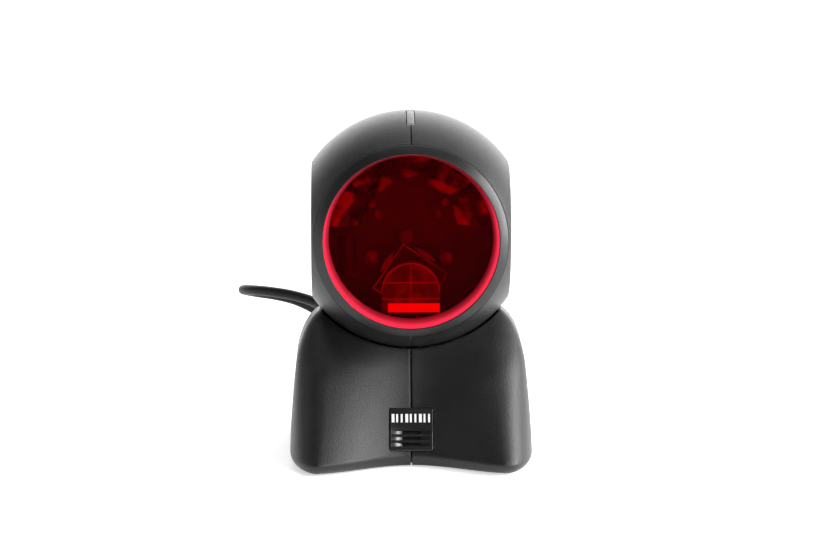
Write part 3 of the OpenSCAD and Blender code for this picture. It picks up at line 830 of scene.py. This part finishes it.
def half_ball():
    """Right half of the ball, with a rounded seam edge and a flat side."""
    edge, side_round = 0.35, 2.2
    seam_x = SEAM / 2
    top = math.sqrt(BALL_R ** 2 - (seam_x + edge) ** 2)
    profile = arc(seam_x + edge, top - edge, edge, 180, 95, 5)
    inner_r = BALL_R - side_round
    flat_at = math.asin((FLAT_X - side_round) / inner_r)
    rows = 64
    start = math.asin((seam_x + edge + 0.2) / BALL_R)
    for k in range(rows + 1):
        a = start + (flat_at - start) * k / rows
        profile.append((BALL_R * math.sin(a), BALL_R * math.cos(a)))
    fillet = math.degrees(flat_at)
    profile += arc(FLAT_X - side_round, inner_r * math.cos(flat_at), side_round, 90 - fillet, 0, 7)[1:]
    profile += [(FLAT_X, r) for r in (22, 15, 7, 0)]
    hollow, inner_x = BALL_R - WALL, FLAT_X - WALL
    limit = math.asin(inner_x / hollow)
    profile += [(inner_x, r) for r in (0, 10, 20)]
    inner_steps = 16
    for k in range(inner_steps, 0, -1):
        a = limit * k / inner_steps
        profile.append((hollow * math.sin(a), hollow * math.cos(a)))
    profile.append((seam_x, hollow))
    segments = 288
    count = len(profile)
    points, faces = [], []
    for s in range(segments):
        a = 2 * math.pi * s / segments
        points += [from_head(x, r * math.cos(a), r * math.sin(a)) for x, r in profile]
    for s in range(segments):
        n = (s + 1) % segments
        for i in range(count):
            m = (i + 1) % count
            faces.append((s * count + i, s * count + m, n * count + m, n * count + i))
    return points, faces


def slice_cutter(from_angle, to_angle, width, r0, r1):
    """A block on the middle plane, between two angles above forward and two radii."""
    steps = 16
    angles = [math.radians(from_angle + (to_angle - from_angle) * s / steps) for s in range(steps + 1)]
    profile = [(r1 * math.sin(a), r1 * math.cos(a)) for a in angles]
    profile += [(r0 * math.sin(a), r0 * math.cos(a)) for a in reversed(angles)]
    count = len(profile)
    points = [from_head(x, y, z) for x in (-width / 2, width / 2) for y, z in profile]
    faces = []
    for i in range(count // 2 - 1):
        a, b, c, d = i, i + 1, count - 2 - i, count - 1 - i
        faces.append((a, b, c, d))
        faces.append((a + count, d + count, c + count, b + count))
    for i in range(count):
        n = (i + 1) % count
        faces.append((i, n, n + count, i + count))
    return outward(mesh_of("slice", points, faces))


LIGHT_W, LIGHT_FROM, LIGHT_TO = 3.3, 69, 90
SLOT_FROM, SLOT_TO, SLOT_W = -111, -69, 6.4


def opening_cutter():
    """The bezel's opening: a plug with a flared end that rounds the shell's edge."""
    r = BEZEL_R + 0.15
    edge_f = math.sqrt(BALL_R ** 2 - r ** 2)
    wide = 0.15
    flare = [(r + wide - x, edge_f - 0.12 + y) for x, y in arc(0, 0, wide, 0, 70, 4)]
    return lathe("opening", [(0, 15), (r, 15)] + flare + [(r + wide, 60), (0, 60)], 256)


def head_shells():
    points, faces = half_ball()
    for side, sign in (("right", 1), ("left", -1)):
        name = f"head_{side}_skin"
        half = mesh_of(name, [(sign * x, y, z) for x, y, z in points], faces)
        obj = new_object(name, outward(half), SHELL, "head")
        cut(obj, loose("opening", opening_cutter()),
            loose("notch", slice_cutter(LIGHT_FROM - 0.6, LIGHT_TO + 0.6, LIGHT_W + 0.5, 47, 53)),
            loose("slot", slice_cutter(SLOT_FROM, SLOT_TO, SLOT_W, 47, 53)))
        sharp_shading(obj, 40)
        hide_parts(f"head_{side}_shell")


def bezel():
    """The conical ring round the window, with a rounded outer edge and a lip."""
    edge, lip = 0.8, 0.22
    face = arc(BEZEL_R - edge, 30.75, edge, 0, 47, 8)
    face += arc(WINDOW_R + lip + 0.1, 33.1, lip, 46, 180, 6) + [(WINDOW_R, 32.3)]
    back = [(38.5, 32.3), (38.5, 30.0), (39.4, 30.0), (39.4, 24.3), (BEZEL_R, 24.3)]
    obj = new_object("bezel_ring", lathe("bezel_ring", face + back), BEZEL, "head")
    sharp_shading(obj, 35)
    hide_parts("front_bezel")


def status_light():
    """The light pipe on top: a strip that follows the ball, with soft edges and a tapered lower end."""
    steps = 40
    half = LIGHT_W / 2
    section = [(-half, -2.4), (-half, -0.25), (-half + 0.12, -0.02), (-half + 0.45, 0.1),
               (half - 0.45, 0.1), (half - 0.12, -0.02), (half, -0.25), (half, -2.4)]
    points, faces = [], []
    for s in range(steps + 1):
        a = math.radians(LIGHT_FROM + (LIGHT_TO - LIGHT_FROM) * s / steps)
        from_end = min(s, steps - s) / steps * math.radians(LIGHT_TO - LIGHT_FROM) * BALL_R
        low = 0.5 * (1 - smooth_step(from_end / 0.9))
        for x, lift in section:
            r = BALL_R + min(lift, 0.1 - low) if lift > -2 else BALL_R + lift
            points.append(from_head(x, r * math.sin(a), r * math.cos(a)))
    count = len(section)
    for s in range(steps):
        for i in range(count):
            n = (i + 1) % count
            faces.append((s * count + i, s * count + n, (s + 1) * count + n, (s + 1) * count + i))
    faces.append(tuple(range(count)))
    faces.append(tuple(steps * count + i for i in reversed(range(count))))
    obj = new_object("light_pipe", outward(mesh_of("light_pipe", points, faces)), FROSTED, "head")
    sharp_shading(obj, 35)
    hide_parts("status_light")


# ---------------------------------------------------------------- what is seen through the window
MOTOR_Y = -21
POLYGON_SIDE, POLYGON_TURN = 24, math.radians(56)


def turned_about_motor(points, angle):
    """Points of the head's x and y axes turned by an angle and set on the motor's middle."""
    c, s = math.cos(angle), math.sin(angle)
    return [(x * c - y * s, MOTOR_Y + x * s + y * c) for x, y in points]


def polygon_mirror():
    """The spinning square: mirrored sides and bevelled edges, with a dark face."""
    turned = turned_about_motor(rectangle(POLYGON_SIDE, POLYGON_SIDE, 0.4, 2), POLYGON_TURN)
    block = prism("polygon_block", turned, 3, 10, lambda x, y, z: from_head(x, z, y))
    obj = new_object("polygon_block", block, MIRROR, "mirror_wheel")
    bevel(obj, 0.35, 1, 40)
    obj.data.materials.append(CHIP)
    for face in obj.data.polygons:
        if face.normal.y < -0.99:
            face.material_index = 1
    sharp_shading(obj, 30)
    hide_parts("polygon_mirror")


def painted_polygon_highlights():
    """Painted highlights: thin glowing strips on the edges of the spinning square's face."""
    half, wide, inset, short = POLYGON_SIDE / 2, 0.3, 0.35, 0.3
    for i in range(4):
        strip = [(-half + short, half - inset - wide), (half - short, half - inset - wide),
                 (half - short, half - inset), (-half + short, half - inset)]
        turned = turned_about_motor(strip, POLYGON_TURN + math.radians(90 * i))
        mesh = prism(f"polygon_painted_highlight_{i}", turned, 9.9, 10.0, lambda x, y, z: from_head(x, z, y))
        obj = new_object(f"polygon_painted_highlight_{i}", mesh, PAINTED_EDGE_HIGHLIGHT, "mirror_wheel", smooth=False)


def ring_profile(r, height, f):
    """A screw seen from in front: a raised collar, a countersunk head and a socket in it."""
    return [(0, f), (0.28 * r, f), (0.28 * r, f + 0.5 * height), (0.62 * r, f + 0.6 * height),
            (0.66 * r, f + 0.2 * height), (0.78 * r, f + 0.2 * height), (0.84 * r, f + height),
            (0.96 * r, f + height), (r, f + 0.8 * height), (r, f - 3), (0, f - 3)]


def inner_bosses():
    """Screw bosses of the optical chassis."""
    spots = [(-16.6, -12.6, 2.9), (15.6, -12.6, 2.9), (-13.4, 6.4, 1.9), (11.8, 6.4, 1.9),
             (-16.4, 11.6, 1.7), (15.4, 11.6, 1.7), (-1.6, -3.2, 3.0)]
    for i, (x, y, r) in enumerate(spots):
        mesh = lathe(f"boss_{i}", ring_profile(r, 1.4, 1.5), 48)
        mesh.transform(Matrix.Translation(mm(x, 0, y)))
        obj = new_object(f"boss_{i}", mesh, TRANSLUCENT_PAINTED_GLINTS, "head")
        sharp_shading(obj, 35)


def collector_ribs():
    """Fine ribs of the collector's frame, with a painted glow: an upright, two cross bars and the rim of
    the arch.
    """
    depth, half = (18.35, 18.75), 0.14
    strips = [(-half, -33, half, -12.2), (-12.2, -27.3 - half, 12.2, -27.3 + half),
              (-11.2, -20.2 - half, 11.2, -20.2 + half)]
    for i, (x0, y0, x1, y1) in enumerate(strips):
        outline_points = [(x0, y0), (x1, y0), (x1, y1), (x0, y1)]
        mesh = prism(f"rib_{i}", outline_points, *depth, lambda x, y, z: from_head(x, z, y))
        obj = new_object(f"rib_{i}", mesh, RIB_PAINTED_GLOW, "head", smooth=False)
    rim = [(r, f) for r, f in ((12.1, 18.3), (12.5, 18.3), (12.5, 18.75), (12.1, 18.75))]
    count, steps = len(rim), 40
    points, faces = [], []
    for k in range(steps + 1):
        a = math.pi * k / steps
        points += [from_head(r * math.cos(a), -24.1 + r * math.sin(a), f) for r, f in rim]
    for k in range(steps):
        for i in range(count):
            m = (i + 1) % count
            faces.append((k * count + i, k * count + m, (k + 1) * count + m, (k + 1) * count + i))
    faces += [tuple(range(count)), tuple(steps * count + i for i in reversed(range(count)))]
    obj = new_object("rib_arch", outward(mesh_of("rib_arch", points, faces)), RIB_PAINTED_GLOW, "head")
    sharp_shading(obj, 35)


# ---------------------------------------------------------------- finishes of the CAD nodes that stay
FINISH = {
    SHELL: ["seat_cradle", "bottom_plate"],
    CHASSIS: ["optical_chassis", "mirror_brackets", "laser_mount", "board_rests"],
    MIRROR_PAINTED_GLINTS: ["pattern_mirrors"],
    STEEL_DARK: ["chassis_screws", "laser_module"],
    TRANSLUCENT_PAINTED_GLINTS: ["collector_mirror"],
    BOARD: ["light_board", "photodiode_board", "motor_board", "main_board", "interface_board"],
    CHIP: ["main_board_chips", "sounder", "cord_socket"],
    STEEL: ["motor_shaft", "motor_rotor", "main_board_screws", "tilt_bolt", "disc_springs",
            "tilt_nut", "stand_screws", "board_screws", "plug_shell"],
    BRASS: ["motor_bearing", "main_board_posts", "mount_inserts", "board_posts"],
    COPPER: ["motor_coils"],
    ACETAL: ["tilt_shoe"],
    CAST: ["ballast"],
    RUBBER: ["rubber_feet", "cable_gland"],
    FOIL: ["blank_label"],
    PRINT: ["badge_mark"],
    RIM_PAINTED_GLOW: ["window_rim"],
    BAR_PAINTED_GLOW: ["filter_bar"],
    WINDOW_RED: ["scan_window"],
}


def finish_cad_nodes():
    for material, names in FINISH.items():
        for name in names:
            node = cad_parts[name]
            for slot in node.material_slots:
                slot.material = material


stand_shells()
badge()
head_shells()
bezel()
status_light()
polygon_mirror()
painted_polygon_highlights()
inner_bosses()
collector_ribs()
finish_cad_nodes()
